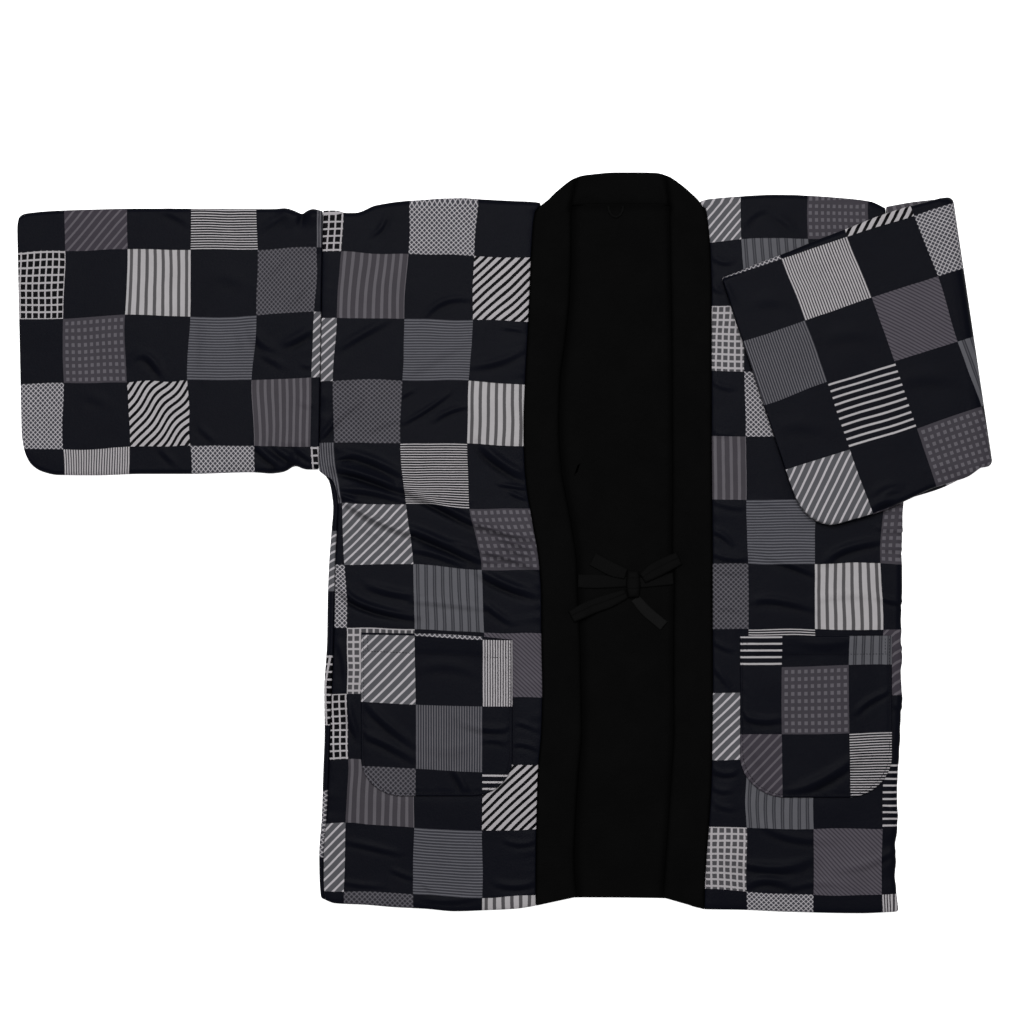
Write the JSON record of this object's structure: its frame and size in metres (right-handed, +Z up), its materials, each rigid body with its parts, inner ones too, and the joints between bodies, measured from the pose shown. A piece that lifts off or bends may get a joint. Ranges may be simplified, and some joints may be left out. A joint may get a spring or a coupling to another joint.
{
  "type": "hanten jacket",
  "caption": "Padded hanten jacket laid flat, patchwork check print, black fleece collar and lining, tied in a bow, left sleeve folded over.",
  "frame": {"origin": "bottom centre of the bounding box, on the surface that the jacket lies on", "axes": "+X across the garment towards the wearer's left sleeve, +Y from hem to neck, +Z up from the surface"},
  "size_m": [1.0905, 0.8298, 0.0298],
  "materials": {
    "printed_cloth": "smooth cotton blend, patchwork check print in navy, greys and mauve",
    "black_fleece": "short matt fleece nap"
  },
  "bodies": {
    "root": {"back": "printed_cloth", "back_lining": "black_fleece", "front_right": "printed_cloth", "front_left": "printed_cloth", "sleeve_right": "printed_cloth", "sleeve_left": "printed_cloth", "collar_right": "black_fleece", "collar_left": "black_fleece", "collar_neck": "black_fleece", "pocket_right": "printed_cloth", "pocket_left": "printed_cloth", "tie_right": "black_fleece", "tie_left": "black_fleece", "bow_loop_upper": "black_fleece", "bow_loop_lower": "black_fleece", "bow_tail_upper": "black_fleece", "bow_tail_lower": "black_fleece", "bow_knot": "black_fleece", "hanger_loop": "black_fleece"}
  },
  "joints": []
}
